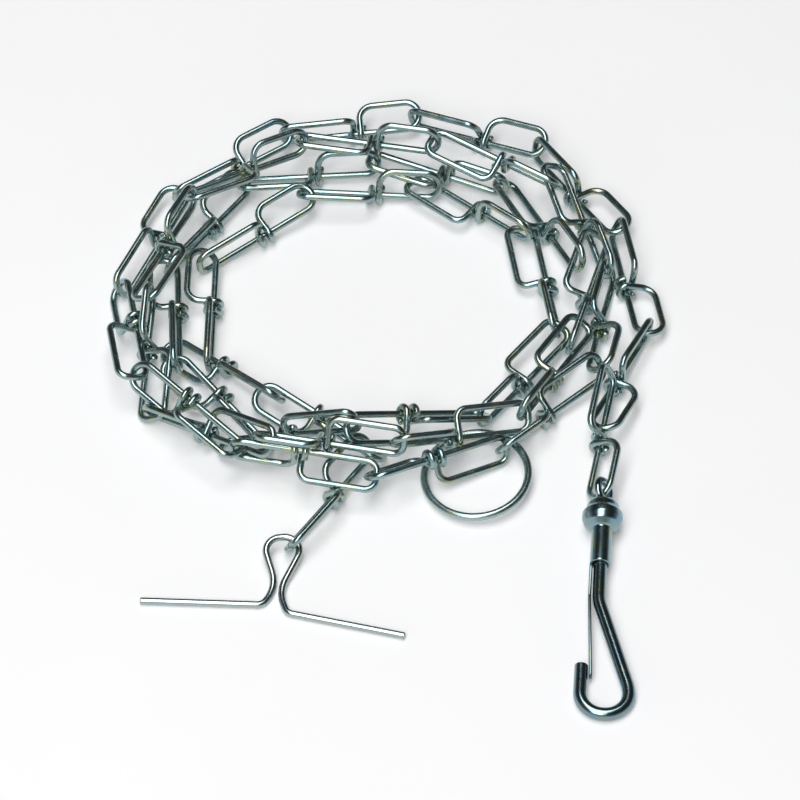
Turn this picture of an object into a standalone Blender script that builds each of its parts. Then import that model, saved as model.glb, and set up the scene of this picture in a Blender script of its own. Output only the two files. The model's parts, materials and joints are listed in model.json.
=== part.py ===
"""A coil of knotted steel wire chain, with a toggle, a loose ring and a swivel snap hook.

Lengths here are millimetres, and become metres where an object is made. The chain lies where
its joints were read by eye, in pixels, so a pinhole function first brings each pixel to the
floor. A spacing pass then moves the stiff pieces apart until none touches another.
"""

import math

import bpy
import numpy as np
from mathutils import Matrix, Vector

MM = 0.001
COLLECTION = "wire_chain_coil"

# One link: a wire bent into a rectangular and a round loop that share one straight spine
WIRE = 2.2
LOOP_WIDTH = 9.7
RECT_LENGTH = 26.6
ROUND_LENGTH = 22.6
PAGE_ANGLE = math.radians(70)
END_CORNER = 3.0
SHOULDER = 5.0
WRAP_RADIUS = 2.45
WRAP_TURN = math.radians(240)
WRAP_STEPS = 5
BAR_FROM_KNOT = 1.25
WRAP_ADVANCE = 1.0
TAIL = 1.6

# Toggle, ring
TOGGLE_WIRE = 2.4
TOGGLE_EYE_LIFT = 4.6
RING_WIRE = 2.7
RING_RADIUS = 17.4
RING_STEPS = 28
TUBE_SIDES = 8

# Swivel snap hook, measured along its own axis from the rim of the cup
EYE_WIRE = 2.6
EYE_RADIUS = 3.6
EYE_CENTRE = -5.3
EYE_STEPS = 20
EYE_PLANE_TURN = math.radians(-55)
STEM_RADIUS = 1.5
STEM_INTO_EYE = 0.2
RIVET_RADIUS = 3.2
RIVET_START = 2.9
RIVET_END = 4.3
CUP_RADIUS = 6.75
FERRULE_RADIUS = 3.4
FERRULE_START = 10.4
FERRULE_END = 24.0
CAVITY_RADIUS = 4.2
CAVITY_START = 2.4
CAVITY_END = 5.2
TURNED_STEPS = 24
BORE_RADIUS = 2.35
STEM_HOLE = 1.9
CUP_PROFILE = ((0.0, 4.7), (1.0, 5.3), (2.8, 5.6), (4.3, 6.75), (6.4, 6.75), (8.5, 5.9), (10.0, 4.2))
CUP_WIDEST = (4.3, 6.4)
HOOK_WIRE = 4.0
HOOK_BOTTOM = 80.6
HOOK_ROUTE = (
    (12.0, 0.0), (38.0, 0.2), (70.5, 11.0), (HOOK_BOTTOM, 11.6), (HOOK_BOTTOM, -4.45), (62.7, -4.45),
)
HOOK_BENDS = (14.0, 14.0, 7.6, 7.6)
GATE_THICK = 1.0
GATE_WIDTH = 3.4
GATE_SIDE = -2.95
GATE_START = FERRULE_END + 0.35
GATE_HINGE = 37.0
GATE_SPLIT = 0.35
GATE_END = 67.5
GATE_LEAN = math.radians(3)

# Clearances between pieces, and the steps of the spacing pass
CLEARANCE = 0.42
FLOOR_CLEARANCE = 0.02
CLEARING_STEPS = 60
GROWING_STEPS = 900
SPACING_STEPS = 2200
PULL = 0.1
MOST_PULL = 0.1
LEAN_SHARE = 0.6
TILT_SHARE = 0.15
FALL = 0.02
MOST_PRESS = 0.8
MOST_TWIST = 0.002
INVERSE_INERTIA = 1 / 110.0
CALMING = 0.4
MOST_SHIFT = 0.12
MOST_SPIN = 0.006
FIRM_CONTACT = 0.05
PAIRS_EVERY = 10
PAIRS_REACH = 3.0
LAST_STEPS = 260
RISES = (
    (0, 4), (1, 0), (9, 0), (10, 6), (18, 6), (20, 8), (21, 11), (23, 13), (28, 13), (29, 9),
    (30, 2.5), (31, 19), (33, 20), (34, 15), (38, 8), (41, 5), (42, 5.5),
)
START_WIDTH = 0.42
START_WIRE = 0.2

# The pinhole view in which the places were read
FOCAL = 4130.0
DISTANCE = 1400.0
ELEVATION = math.radians(51)
MIDDLE = 400.0

# The links from the toggle to the hook: the pixels of the rectangular end, the round end and the
# knot, the height of the knot, and the lean. The lean is the direction of the bisector of its
# two loops as seen: 0 is to the right of the link's run, 90 towards the eye, 180 to the left.
LINKS = (
    ((293, 552), (378, 457), (347, 497), 4, 105),
    ((375, 452), (254, 411), (308, 416), 5, 135),
    ((257, 407), (190, 320), (213, 352), 5, 120),
    ((208, 345), (210, 260), (212, 312), 5, 120),
    ((210, 264), (300, 200), (265, 235), 5, 150),
    ((298, 202), (425, 183), (375, 193), 5, 135),
    ((422, 183), (528, 235), (480, 212), 5, 70),
    ((530, 235), (570, 338), (548, 287), 5, 55),
    ((573, 340), (478, 415), (525, 385), 5, 28),
    ((480, 417), (358, 440), (412, 430), 5, 141),
    ((356, 438), (245, 424), (284, 430), 5, 115),
    ((277, 420), (183, 370), (220, 402), 6, 125),
    ((185, 372), (178, 272), (172, 315), 7, 125),
    ((178, 278), (245, 190), (205, 225), 8, 125),
    ((247, 187), (371, 166), (316, 176), 8, 125),
    ((372, 162), (497, 184), (446, 173), 8, 120),
    ((497, 183), (578, 268), (551, 233), 8, 120),
    ((577, 265), (575, 345), (588, 303), 8, 70),
    ((573, 345), (517, 420), (556, 380), 8, 60),
    ((517, 418), (400, 483), (459, 457), 8, 80),
    ((385, 455), (236, 450), (305, 443), 8, 60),
    ((283, 462), (150, 407), (207, 438), 8, 35),
    ((150, 407), (152, 306), (148, 352), 8, 55),
    ((150, 310), (188, 213), (166, 255), 9, 80),
    ((190, 210), (302, 154), (248, 172), 9, 105),
    ((303, 155), (433, 150), (376, 145), 9, 110),
    ((431, 152), (550, 190), (505, 168), 9, 60),
    ((550, 188), (607, 277), (590, 227), 9, 75),
    ((608, 275), (600, 368), (602, 330), 9, 100),
    ((600, 372), (512, 455), (548, 415), 9, 45),
    ((512, 455), (386, 470), (434, 462), 9, 215),
    ((383, 468), (243, 440), (303, 462), 9, 200),
    ((244, 437), (145, 367), (190, 400), 9, 185),
    ((143, 370), (117, 287), (135, 325), 6, 190),
    ((117, 287), (170, 190), (155, 242), 5, 164),
    ((172, 190), (283, 135), (237, 162), 5, 164),
    ((284, 134), (414, 115), (358, 132), 5, 164),
    ((412, 115), (539, 150), (484, 138), 5, 164),
    ((538, 150), (618, 236), (580, 200), 5, 160),
    ((616, 237), (635, 333), (626, 292), 5, 150),
    ((633, 333), (607, 436), (616, 388), 5, 120),
    ((614, 405), (594, 498), (600, 460), 6, 90),
)

RING_CENTRE = (474.5, 476)
RING_LINK = 30
RING_INSIDE = 4.5
TOGGLE_ROUTE = ((140, 601), (262, 605), (277, 588), (262, 548), (310, 543), (279, 592), (287, 613), (405, 636))
TOGGLE_BENDS = (3.0, 12.0, 4.8, 4.8, 12.0, 3.0)
CUP_PIXEL = (603.5, 504)
FERRULE_PIXEL = (600.5, 566)
HOOK_END_HEIGHT = HOOK_WIRE / 2


def unit(vector):
    return vector / math.sqrt(float((vector * vector).sum()))


def floor_point(pixel, height):
    """The point at a height above the floor that shows at a pixel."""
    forward = np.array([0.0, math.cos(ELEVATION), -math.sin(ELEVATION)])
    up = np.array([0.0, math.sin(ELEVATION), math.cos(ELEVATION)])
    right = np.array([1.0, 0.0, 0.0])
    ray = forward * FOCAL + right * (pixel[0] - MIDDLE) + up * (MIDDLE - pixel[1])
    eye = -forward * DISTANCE
    return eye + ray * (height - eye[2]) / ray[2]


def rounded(corners, radii, steps):
    """A polyline with each inner corner turned into an arc."""
    points = [np.array(corners[0], float)]
    for before, here, after, radius, count in zip(corners, corners[1:], corners[2:], radii, steps):
        here = np.array(here, float)
        back = unit(np.array(before, float) - here)
        ahead = unit(np.array(after, float) - here)
        half = math.acos(max(-1.0, min(1.0, float((back * ahead).sum())))) / 2
        centre = here + unit(back + ahead) * radius / math.sin(half)
        start = here + back * radius / math.tan(half) - centre
        end = here + ahead * radius / math.tan(half) - centre
        turn = math.pi - 2 * half
        for k in range(count + 1):
            share = k / count
            arc = start * math.sin((1 - share) * turn) + end * math.sin(share * turn)
            point = centre + arc / math.sin(turn)
            if math.dist(point, points[-1]) > 0.05:
                points.append(point)
    points.append(np.array(corners[-1], float))
    return points


def around(angle, radius):
    """The point at this angle and distance from the spine, in its cross plane."""
    return np.array([0.0, radius * math.cos(angle), radius * math.sin(angle)])


def wrap(page, side, sense):
    """The turn of the wire round the spine and its cut tail, from the end of the bar on."""
    bar = side * BAR_FROM_KNOT
    first = page + sense * math.acos(WRAP_RADIUS / LOOP_WIDTH)
    points = []
    for k in range(WRAP_STEPS + 1):
        share = k / WRAP_STEPS
        eased = share * share * (3 - 2 * share)
        point = around(first + sense * WRAP_TURN * share, WRAP_RADIUS)
        point[0] = bar + side * WRAP_ADVANCE * eased
        points.append(point)
    heading = first + sense * (WRAP_TURN + math.pi / 2)
    points.append(points[-1] + around(heading, TAIL))
    return points


def link_route():
    """The centre line of one link, tail to tail. The spine is the X axis, the knot the origin."""
    rect_page = PAGE_ANGLE / 2
    round_page = -PAGE_ANGLE / 2
    rect_far = around(rect_page, LOOP_WIDTH)
    round_far = around(round_page, LOOP_WIDTH)
    along = np.array([1.0, 0.0, 0.0])
    rect_wrap = wrap(rect_page, -1, -1)
    round_wrap = wrap(round_page, 1, 1)
    corners = (
        rect_wrap[0],
        rect_far - along * BAR_FROM_KNOT,
        rect_far - along * RECT_LENGTH,
        -along * RECT_LENGTH,
        along * ROUND_LENGTH,
        round_far + along * ROUND_LENGTH,
        round_far + along * BAR_FROM_KNOT,
        round_wrap[0],
    )
    half = LOOP_WIDTH / 2
    radii = (END_CORNER, END_CORNER, END_CORNER, half, half, SHOULDER)
    loops = rounded(corners, radii, (1, 1, 1, 2, 2, 2))
    return np.array(rect_wrap[:0:-1] + loops + round_wrap[1:])


def link_anchors(stretch, share):
    """Where the neighbours' wires cross a link of this stretch and share of full width."""
    half = WIRE / 2 + CLEARANCE / 2
    rect = around(PAGE_ANGLE / 2, LOOP_WIDTH * share / 2)
    rounded_end = around(-PAGE_ANGLE / 2, LOOP_WIDTH * share / 2)
    rect[0] = half - RECT_LENGTH * stretch
    rounded_end[0] = ROUND_LENGTH * stretch - half
    return rect, rounded_end


def start_stretch(distance):
    """The stretch of a thin link whose anchors lie this far apart."""
    along = distance * distance - (LOOP_WIDTH * START_WIDTH * math.sin(PAGE_ANGLE / 2)) ** 2
    return (math.sqrt(along) + WIRE + CLEARANCE) / (RECT_LENGTH + ROUND_LENGTH)


def basis(ahead, lean):
    """Columns along a direction, towards a lean that is made square to it, and across both."""
    first = unit(ahead)
    second = unit(lean - first * float((lean * first).sum()))
    return np.stack([first, second, np.cross(first, second)], axis=1)


def seen_direction(run, degrees):
    """The direction at this angle round a run, from its right as seen towards the eye."""
    up = np.array([0.0, math.sin(ELEVATION), math.cos(ELEVATION)])
    toward = np.array([0.0, -math.cos(ELEVATION), math.sin(ELEVATION)])
    across = run[0]
    rise = float((run * up).sum())
    size = math.hypot(across, rise)
    right_hand = (np.array([1.0, 0.0, 0.0]) * rise - up * across) / size
    angle = math.radians(degrees)
    return right_hand * math.cos(angle) + toward * math.sin(angle)


def joint_points():
    """Where each link meets the next at the start of the spacing pass."""
    ends = [(floor_point(rect, height), floor_point(far, height)) for rect, far, _, height, _ in LINKS]
    points = [ends[0][0]] + [(a[1] + b[0]) / 2 for a, b in zip(ends, ends[1:])] + [eye_contact()]
    for point, height in zip(points[:-1], start_heights()):
        point[2] = height
    return points


def place_between(start, end, lean, anchors):
    """The centre and turn that put a link's anchors between two joints, with its loops to a lean."""
    rect, rounded_end = anchors
    facing = seen_direction(end - start, lean)
    turn = basis(end - start, facing) @ basis(rounded_end - rect, np.array([0.0, 1.0, 0.0])).T
    return (start + end) / 2 - turn @ (rect + rounded_end) / 2, turn


def link_places():
    """Each link's wished place and turn, and its start: thin, and just as long as its joints allow."""
    joints = joint_points()
    full = link_anchors(1.0, 1.0)
    places = []
    for (rect, far, knot, height, lean), start, end in zip(LINKS, joints, joints[1:]):
        stretch = start_stretch(math.dist(start, end))
        first = place_between(start, end, lean, link_anchors(stretch, START_WIDTH))
        _, wished_turn = place_between(floor_point(rect, height), floor_point(far, height), lean, full)
        places.append(first + (floor_point(knot, height), wished_turn, stretch))
    return places


def start_heights():
    """The height at which each joint starts, so that each strand starts clear of the others."""
    marks, rises = zip(*RISES)
    return [WIRE / 2 + float(np.interp(k, marks, rises)) for k in range(len(LINKS))]


def toggle_route():
    """The toggle's wire: arms on the floor, and an eye that rises off it."""
    corners = [floor_point(pixel, TOGGLE_WIRE / 2 * math.cos(math.pi / 8)) for pixel in TOGGLE_ROUTE]
    for k in (3, 4):
        corners[k][2] += TOGGLE_EYE_LIFT
    return np.array(rounded(corners, TOGGLE_BENDS, (2, 2, 3, 3, 2, 2)))


def hook_frame():
    """The hook's axis point at the rim of its cup, and its axes: along, to the right, up."""
    widest = CUP_WIDEST[1]
    drop = (CUP_RADIUS - HOOK_END_HEIGHT) / (HOOK_BOTTOM - widest)
    rim_height = CUP_RADIUS * math.hypot(1, drop) + widest * drop
    rim = floor_point(CUP_PIXEL, rim_height)
    ahead = floor_point(FERRULE_PIXEL, rim_height) - rim
    ahead = unit(unit(ahead) + np.array([0.0, 0.0, -drop]))
    right = unit(np.cross(ahead, np.array([0.0, 0.0, -1.0])))
    return rim, ahead, right, np.cross(ahead, right)


def hook_point(frame, along, side, up=0.0):
    rim, ahead, right, above = frame
    return rim + ahead * along + right * side + above * up


def ring_points(centre, radius, axis_one, axis_two, count):
    angles = [2 * math.pi * k / count for k in range(count + 1)]
    return np.array([centre + axis_one * radius * math.cos(a) + axis_two * radius * math.sin(a) for a in angles])


def eye_contact():
    """Where the last link crosses the wire of the swivel eye."""
    return hook_point(hook_frame(), EYE_CENTRE - EYE_RADIUS + (EYE_WIRE + WIRE) / 4, 0)


def eye_axes(frame):
    """The two axes of the swivel eye's plane."""
    _, ahead, right, above = frame
    return ahead, right * math.cos(EYE_PLANE_TURN) + above * math.sin(EYE_PLANE_TURN)


class Pile:
    """Stiff pieces as chains of round-ended segments, with a place and a turn for each."""

    def __init__(self):
        self.centre, self.turn, self.wished, self.wished_turn, self.stretch = [], [], [], [], []
        self.free, self.owner, self.start, self.end, self.radius = [], [], [], [], []

    def add(self, route, radius, centre=None, turn=None, wished=None, wished_turn=None, stretch=1.0, free=True):
        centre = np.zeros(3) if centre is None else centre
        turn = np.eye(3) if turn is None else turn
        index = len(self.centre)
        self.centre.append(centre)
        self.turn.append(turn)
        self.wished.append(centre if wished is None else wished)
        self.wished_turn.append(turn if wished_turn is None else wished_turn)
        self.stretch.append(stretch)
        self.free.append(1.0 if free else 0.0)
        for first, second in zip(route, route[1:]):
            self.owner.append(index)
            self.start.append(first)
            self.end.append(second)
            self.radius.append(radius)
        return index

    def scale(self, progress):
        """Thins every wire, and squeezes each link, between their start at 0 and full size at 1."""
        self.share = START_WIRE + (1 - START_WIRE) * progress
        self.radius = self.full_radius * self.share
        stretch = 1 + (self.stretch[self.owner] - 1) * (1 - progress)
        width = np.where(self.owner < len(LINKS), START_WIDTH + (1 - START_WIDTH) * progress, 1.0)
        squeeze = np.stack([stretch, width, width], axis=1)
        self.start = self.full_start * squeeze
        self.end = self.full_end * squeeze

    def freeze(self):
        """Turns the lists into arrays, once all the pieces are in."""
        self.centre, self.turn = np.array(self.centre), np.array(self.turn)
        self.wished, self.wished_turn = np.array(self.wished), np.array(self.wished_turn)
        self.stretch, self.free, self.owner = np.array(self.stretch), np.array(self.free), np.array(self.owner)
        self.full_start, self.full_end = np.array(self.start), np.array(self.end)
        self.full_radius = np.array(self.radius)

    def ends(self):
        """Both ends of every segment, in the world."""
        turn = self.turn[self.owner]
        centre = self.centre[self.owner]
        first = centre + (turn * self.start[:, None, :]).sum(axis=2)
        second = centre + (turn * self.end[:, None, :]).sum(axis=2)
        return first, second


def near_pairs(pile, reach):
    """Segments of different pieces whose surrounding balls are within this reach."""
    first, second = pile.ends()
    middle = (first + second) / 2
    half = np.sqrt(((second - first) ** 2).sum(axis=1)) / 2 + pile.radius
    one, two = [], []
    for k in range(len(middle)):
        gap = np.sqrt(((middle[k + 1:] - middle[k]) ** 2).sum(axis=1)) - half[k + 1:] - half[k]
        near = np.nonzero((gap < reach) & (pile.owner[k + 1:] != pile.owner[k]))[0] + k + 1
        one.append(np.full(len(near), k))
        two.append(near)
    return np.concatenate(one), np.concatenate(two)


def nearest_points(p, q, r, s):
    """The nearest points of segments pq and rs, row by row."""
    d1, d2, gap = q - p, s - r, p - r
    a, e = (d1 * d1).sum(axis=1), (d2 * d2).sum(axis=1)
    b, c, f = (d1 * d2).sum(axis=1), (d1 * gap).sum(axis=1), (d2 * gap).sum(axis=1)
    spread = a * e - b * b
    safe = np.where(spread > 1e-9, spread, 1.0)
    share = np.where(spread > 1e-9, np.clip((b * f - c * e) / safe, 0, 1), 0.5)
    other = np.clip((b * share + f) / e, 0, 1)
    share = np.clip((b * other - c) / a, 0, 1)
    return p + d1 * share[:, None], r + d2 * other[:, None]


def push_apart(pile, pairs, shift, spin, count, worst):
    """Adds to each piece the move and turn that open its contacts, and notes its deepest one."""
    one, two = pairs
    movable = (pile.free[pile.owner[one]] + pile.free[pile.owner[two]]) > 0
    one, two = one[movable], two[movable]
    first, second = pile.ends()
    at_one, at_two = nearest_points(first[one], second[one], first[two], second[two])
    apart = at_one - at_two
    distance = np.sqrt((apart * apart).sum(axis=1))
    depth = pile.radius[one] + pile.radius[two] + CLEARANCE * pile.share - distance
    hit = np.nonzero(depth > 0)[0]
    normal = apart[hit] / np.maximum(distance[hit], 1e-6)[:, None]
    bodies = (pile.owner[one[hit]], pile.owner[two[hit]])
    arms = [np.cross(at[hit] - pile.centre[body], normal) for at, body in zip((at_one, at_two), bodies)]
    weights = [pile.free[body] * (1 + (arm * arm).sum(axis=1) * INVERSE_INERTIA) for arm, body in zip(arms, bodies)]
    size = depth[hit] / np.maximum(weights[0] + weights[1], 1e-6)
    for sign, body, arm in zip((1, -1), bodies, arms):
        np.add.at(shift, body, sign * size[:, None] * normal)
        np.add.at(spin, body, sign * size[:, None] * arm * INVERSE_INERTIA)
        np.add.at(count, body, np.minimum(1.0, size / FIRM_CONTACT))
        np.maximum.at(worst, body, depth[hit])


def lift_off_floor(pile, shift, spin, count):
    up = np.array([0.0, 0.0, 1.0])
    for points in pile.ends():
        depth = pile.radius + FLOOR_CLEARANCE - points[:, 2]
        hit = np.nonzero(depth > 0)[0]
        body = pile.owner[hit]
        arm = np.cross(points[hit] - pile.centre[body], up)
        size = depth[hit] / (1 + (arm * arm).sum(axis=1) * INVERSE_INERTIA)
        np.add.at(shift, body, size[:, None] * up)
        np.add.at(spin, body, size[:, None] * arm * INVERSE_INERTIA)
        np.add.at(count, body, np.minimum(1.0, size / FIRM_CONTACT))


def turned(turn, spin):
    """Turn matrices after small extra turns, made square again."""
    first = turn[:, :, 0] + np.cross(spin, turn[:, :, 0])
    second = turn[:, :, 1] + np.cross(spin, turn[:, :, 1])
    first = first / np.sqrt((first * first).sum(axis=1))[:, None]
    second = second - first * (first * second).sum(axis=1)[:, None]
    second = second / np.sqrt((second * second).sum(axis=1))[:, None]
    return np.stack([first, second, np.cross(first, second)], axis=2)


def pull_to_wish(pile, shift, spin, worst):
    """Draws each piece to its line of sight, down, and to its wished lean, less where it is pressed."""
    ease = np.clip(1 - worst / (MOST_PRESS * pile.share), 0, 1)[:, None]
    aside = pile.wished - pile.centre
    aside[:, 1] += aside[:, 2] / math.tan(ELEVATION)
    shift[:, :2] += np.clip(aside[:, :2] * PULL, -MOST_PULL, MOST_PULL) * ease
    shift[:, 2] -= FALL
    lean = np.cross(pile.turn[:, :, 1], pile.wished_turn[:, :, 1])
    run = np.cross(pile.turn[:, :, 0], pile.wished_turn[:, :, 0])
    run[:, :2] *= TILT_SHARE
    spin += np.clip((lean * LEAN_SHARE + run) * PULL, -MOST_TWIST, MOST_TWIST) * ease


def settle(pile):
    """The spacing pass. Rounding each step keeps the result the same on every computer."""
    for step in range(SPACING_STEPS + LAST_STEPS):
        pile.scale(min(1.0, max(0, step - CLEARING_STEPS) / GROWING_STEPS))
        if step % PAIRS_EVERY == 0:
            pairs = near_pairs(pile, PAIRS_REACH)
        shift = np.zeros_like(pile.centre)
        spin = np.zeros_like(pile.centre)
        count = np.zeros(len(pile.centre))
        worst = np.zeros(len(pile.centre))
        push_apart(pile, pairs, shift, spin, count, worst)
        lift_off_floor(pile, shift, spin, count)
        calm = np.maximum(1.0, count * CALMING)[:, None]
        shift, spin = shift / calm, spin / calm
        if CLEARING_STEPS < step < SPACING_STEPS:
            pull_to_wish(pile, shift, spin, worst)
        shift = np.clip(shift, -MOST_SHIFT, MOST_SHIFT) * pile.free[:, None]
        spin = np.clip(spin, -MOST_SPIN, MOST_SPIN) * pile.free[:, None]
        pile.centre = np.round(pile.centre + shift, 6)
        pile.turn = np.round(turned(pile.turn, spin), 9)
    print("deepest contact after the spacing pass", round(float(worst.max()), 4))


def threaded_ring(link, wished):
    """The ring's centre at the start, with its wire through the round loop of its link."""
    centre, turn, _, _, stretch = link
    _, contact = link_anchors(stretch, START_WIDTH)
    inside = centre + turn @ (contact - np.array([RING_INSIDE, 0.0, 0.0]))
    outward = inside - wished
    outward[2] = 0.0
    return inside - unit(outward) * RING_RADIUS


def arrange():
    """All the pieces in the pile, settled: links, ring, toggle and the hook's fixed top."""
    pile = Pile()
    route = link_route()
    places = link_places()
    for centre, turn, wished, wished_turn, stretch in places:
        pile.add(route, WIRE / 2, centre, turn, wished, wished_turn, stretch)
    east, north = np.array([1.0, 0.0, 0.0]), np.array([0.0, 1.0, 0.0])
    ring_route = ring_points(np.zeros(3), RING_RADIUS, east, north, RING_STEPS)
    ring_place = floor_point(RING_CENTRE, RING_WIRE / 2)
    ring_start = threaded_ring(places[RING_LINK - 1], ring_place)
    ring = pile.add(ring_route, RING_WIRE / 2, ring_start, np.eye(3), ring_place, np.eye(3))
    pile.add(toggle_route(), TOGGLE_WIRE / 2, free=False)
    frame = hook_frame()
    one, two = eye_axes(frame)
    eye = ring_points(hook_point(frame, EYE_CENTRE, 0), EYE_RADIUS, one, two, EYE_STEPS)
    pile.add(eye, EYE_WIRE / 2, free=False)
    cup = np.array([hook_point(frame, along, 0) for along in CUP_WIDEST])
    pile.add(cup, CUP_RADIUS, free=False)
    pile.freeze()
    settle(pile)
    return pile, ring


def clear_scene():
    for item in list(bpy.data.objects):
        bpy.data.objects.remove(item, do_unlink=True)


def steel(name, colour, roughness):
    """A bright plated metal."""
    material = bpy.data.materials.new(name)
    material.use_nodes = True
    shader = material.node_tree.nodes["Principled BSDF"]
    shader.inputs["Base Color"].default_value = (*colour, 1.0)
    shader.inputs["Metallic"].default_value = 1.0
    shader.inputs["Roughness"].default_value = roughness
    return material


def matrix(turn, centre):
    """A placement in metres from a turn matrix and a centre in millimetres."""
    rows = [[*map(float, row), float(at) * MM] for row, at in zip(turn, centre)]
    return Matrix(rows + [[0.0, 0.0, 0.0, 1.0]])


def added(name, data, collection, placement=None):
    item = bpy.data.objects.new(name, data)
    collection.objects.link(item)
    if placement is not None:
        item.matrix_world = placement
    return item


def wire_curve(name, route, radius, sides_setting, material, tilt=0.0):
    """A curve swept with a round wire, its ends closed."""
    curve = bpy.data.curves.new(name, "CURVE")
    curve.dimensions = "3D"
    curve.twist_mode = "Z_UP"
    curve.bevel_depth = radius * MM
    curve.bevel_resolution = sides_setting
    curve.use_fill_caps = True
    spline = curve.splines.new("POLY")
    spline.points.add(len(route) - 1)
    for point, place in zip(spline.points, route):
        point.co = (*[float(value) * MM for value in place], 1.0)
        point.tilt = tilt
    curve.materials.append(material)
    return curve


def profile_mesh(name, points, closed, material):
    """A profile at +X for the Screw modifier: pairs of height and radius, top to bottom outside."""
    mesh = bpy.data.meshes.new(name)
    corners = [(radius * MM, 0.0, along * MM) for along, radius in points]
    edges = [(k, k + 1) for k in range(len(corners) - 1)]
    if closed:
        edges.append((len(corners) - 1, 0))
    mesh.from_pydata(corners, edges, [])
    mesh.materials.append(material)
    return mesh


def turn_profile(item):
    screw = item.modifiers.new("turned", "SCREW")
    screw.steps = TURNED_STEPS
    screw.render_steps = TURNED_STEPS
    screw.use_merge_vertices = True
    screw.merge_threshold = 0.00001


def links(pile, collection):
    """All the links share one bent wire."""
    metal = steel("zinc_link", (0.80, 0.82, 0.82), 0.16)
    curve = wire_curve("link_wire", link_route(), WIRE / 2, 1, metal)
    curve.twist_mode = "MINIMUM"
    for k in range(len(LINKS)):
        added(f"link_{k + 1:02d}", curve, collection, matrix(pile.turn[k], pile.centre[k]))


def ring_on_chain(pile, ring, collection):
    bpy.ops.mesh.primitive_torus_add(
        major_radius=RING_RADIUS * MM, minor_radius=RING_WIRE / 2 * MM,
        major_segments=RING_STEPS, minor_segments=TUBE_SIDES,
    )
    made = bpy.context.object
    added("ring", made.data, collection, matrix(pile.turn[ring], pile.centre[ring]))
    made.data.materials.append(steel("zinc_ring", (0.78, 0.80, 0.81), 0.18))
    bpy.data.objects.remove(made)


def toggle(collection):
    """The wire's lowest facet faces down and lies on the floor."""
    metal = steel("zinc_toggle", (0.79, 0.80, 0.79), 0.2)
    curve = wire_curve("toggle_wire", toggle_route(), TOGGLE_WIRE / 2, 2, metal, math.pi / 8)
    added("toggle", curve, collection)


def hook_axes(frame):
    """The turn matrix of the hook: X to its right, Y up, Z along it."""
    _, ahead, right, above = frame
    return np.stack([right, above, ahead], axis=1)


def swivel_eye(frame, collection, guides):
    """The eye, its stem through the cup's top and the riveted head inside."""
    metal = steel("zinc_eye", (0.70, 0.72, 0.74), 0.22)
    bpy.ops.mesh.primitive_torus_add(
        major_radius=EYE_RADIUS * MM, minor_radius=EYE_WIRE / 2 * MM,
        major_segments=EYE_STEPS, minor_segments=TUBE_SIDES,
    )
    made = bpy.context.object
    one, two = eye_axes(frame)
    turn = np.stack([one, two, np.cross(one, two)], axis=1)
    loop = added("eye_loop", made.data, guides, matrix(turn, hook_point(frame, EYE_CENTRE, 0)))
    bpy.data.objects.remove(made)
    loop.hide_render = True
    loop.display_type = "WIRE"
    top, stem_start = RIVET_END, EYE_CENTRE + EYE_RADIUS - STEM_INTO_EYE
    profile = ((top, 0), (top, RIVET_RADIUS), (RIVET_START, RIVET_RADIUS), (RIVET_START, STEM_RADIUS),
               (stem_start, STEM_RADIUS), (stem_start, 0))
    mesh = profile_mesh("eye_stem", profile, False, metal)
    eye = added("swivel_eye", mesh, collection, matrix(hook_axes(frame), frame[0]))
    turn_profile(eye)
    joined = eye.modifiers.new("loop", "BOOLEAN")
    joined.operation = "UNION"
    joined.object = loop


def swivel_barrel(frame, collection, parent):
    """The cup and the ferrule under it, turned in one piece, with a cavity for the rivet head."""
    outside = [(FERRULE_END, FERRULE_RADIUS), (FERRULE_START, FERRULE_RADIUS)] + list(CUP_PROFILE[::-1])
    inside = [(0, STEM_HOLE), (CAVITY_START, STEM_HOLE), (CAVITY_START, CAVITY_RADIUS),
              (CAVITY_END, CAVITY_RADIUS), (CAVITY_END, BORE_RADIUS), (FERRULE_END, BORE_RADIUS)]
    mesh = profile_mesh("barrel_profile", outside + inside, True, steel("zinc_barrel", (0.76, 0.79, 0.82), 0.2))
    barrel = added("swivel_barrel", mesh, collection)
    barrel.parent = parent
    turn_profile(barrel)


def hook_wire(collection, parent):
    """The bent wire of the snap hook, in its parent's XZ plane."""
    metal = steel("zinc_hook", (0.72, 0.75, 0.79), 0.2)
    corners = [(side, 0.0, along) for along, side in HOOK_ROUTE]
    route = rounded(corners, HOOK_BENDS, (2, 2, 4, 4))
    wire = added("hook_wire", wire_curve("hook_route", route, HOOK_WIRE / 2, 2, metal), collection)
    wire.parent = parent


def leaf(name, start, end, lean, material, collection, parent):
    """One strip of the spring gate, from start to end, turned by its lean about the hinge."""
    bpy.ops.mesh.primitive_cube_add(size=1.0)
    made = bpy.context.object
    middle = (start + end) / 2 - GATE_HINGE
    size = Matrix.Diagonal((GATE_THICK * MM, GATE_WIDTH * MM, (end - start) * MM, 1.0))
    made.data.transform(Matrix.Translation((0.0, 0.0, middle * MM)) @ size)
    strip = added(name, made.data, collection)
    bpy.data.objects.remove(made)
    strip.data.materials.append(material)
    strip.parent = parent
    strip.location = (GATE_SIDE * MM, 0.0, GATE_HINGE * MM)
    strip.rotation_euler = (0.0, lean, 0.0)
    edge = strip.modifiers.new("edges", "BEVEL")
    edge.width = 0.2 * MM
    edge.segments = 1


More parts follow.
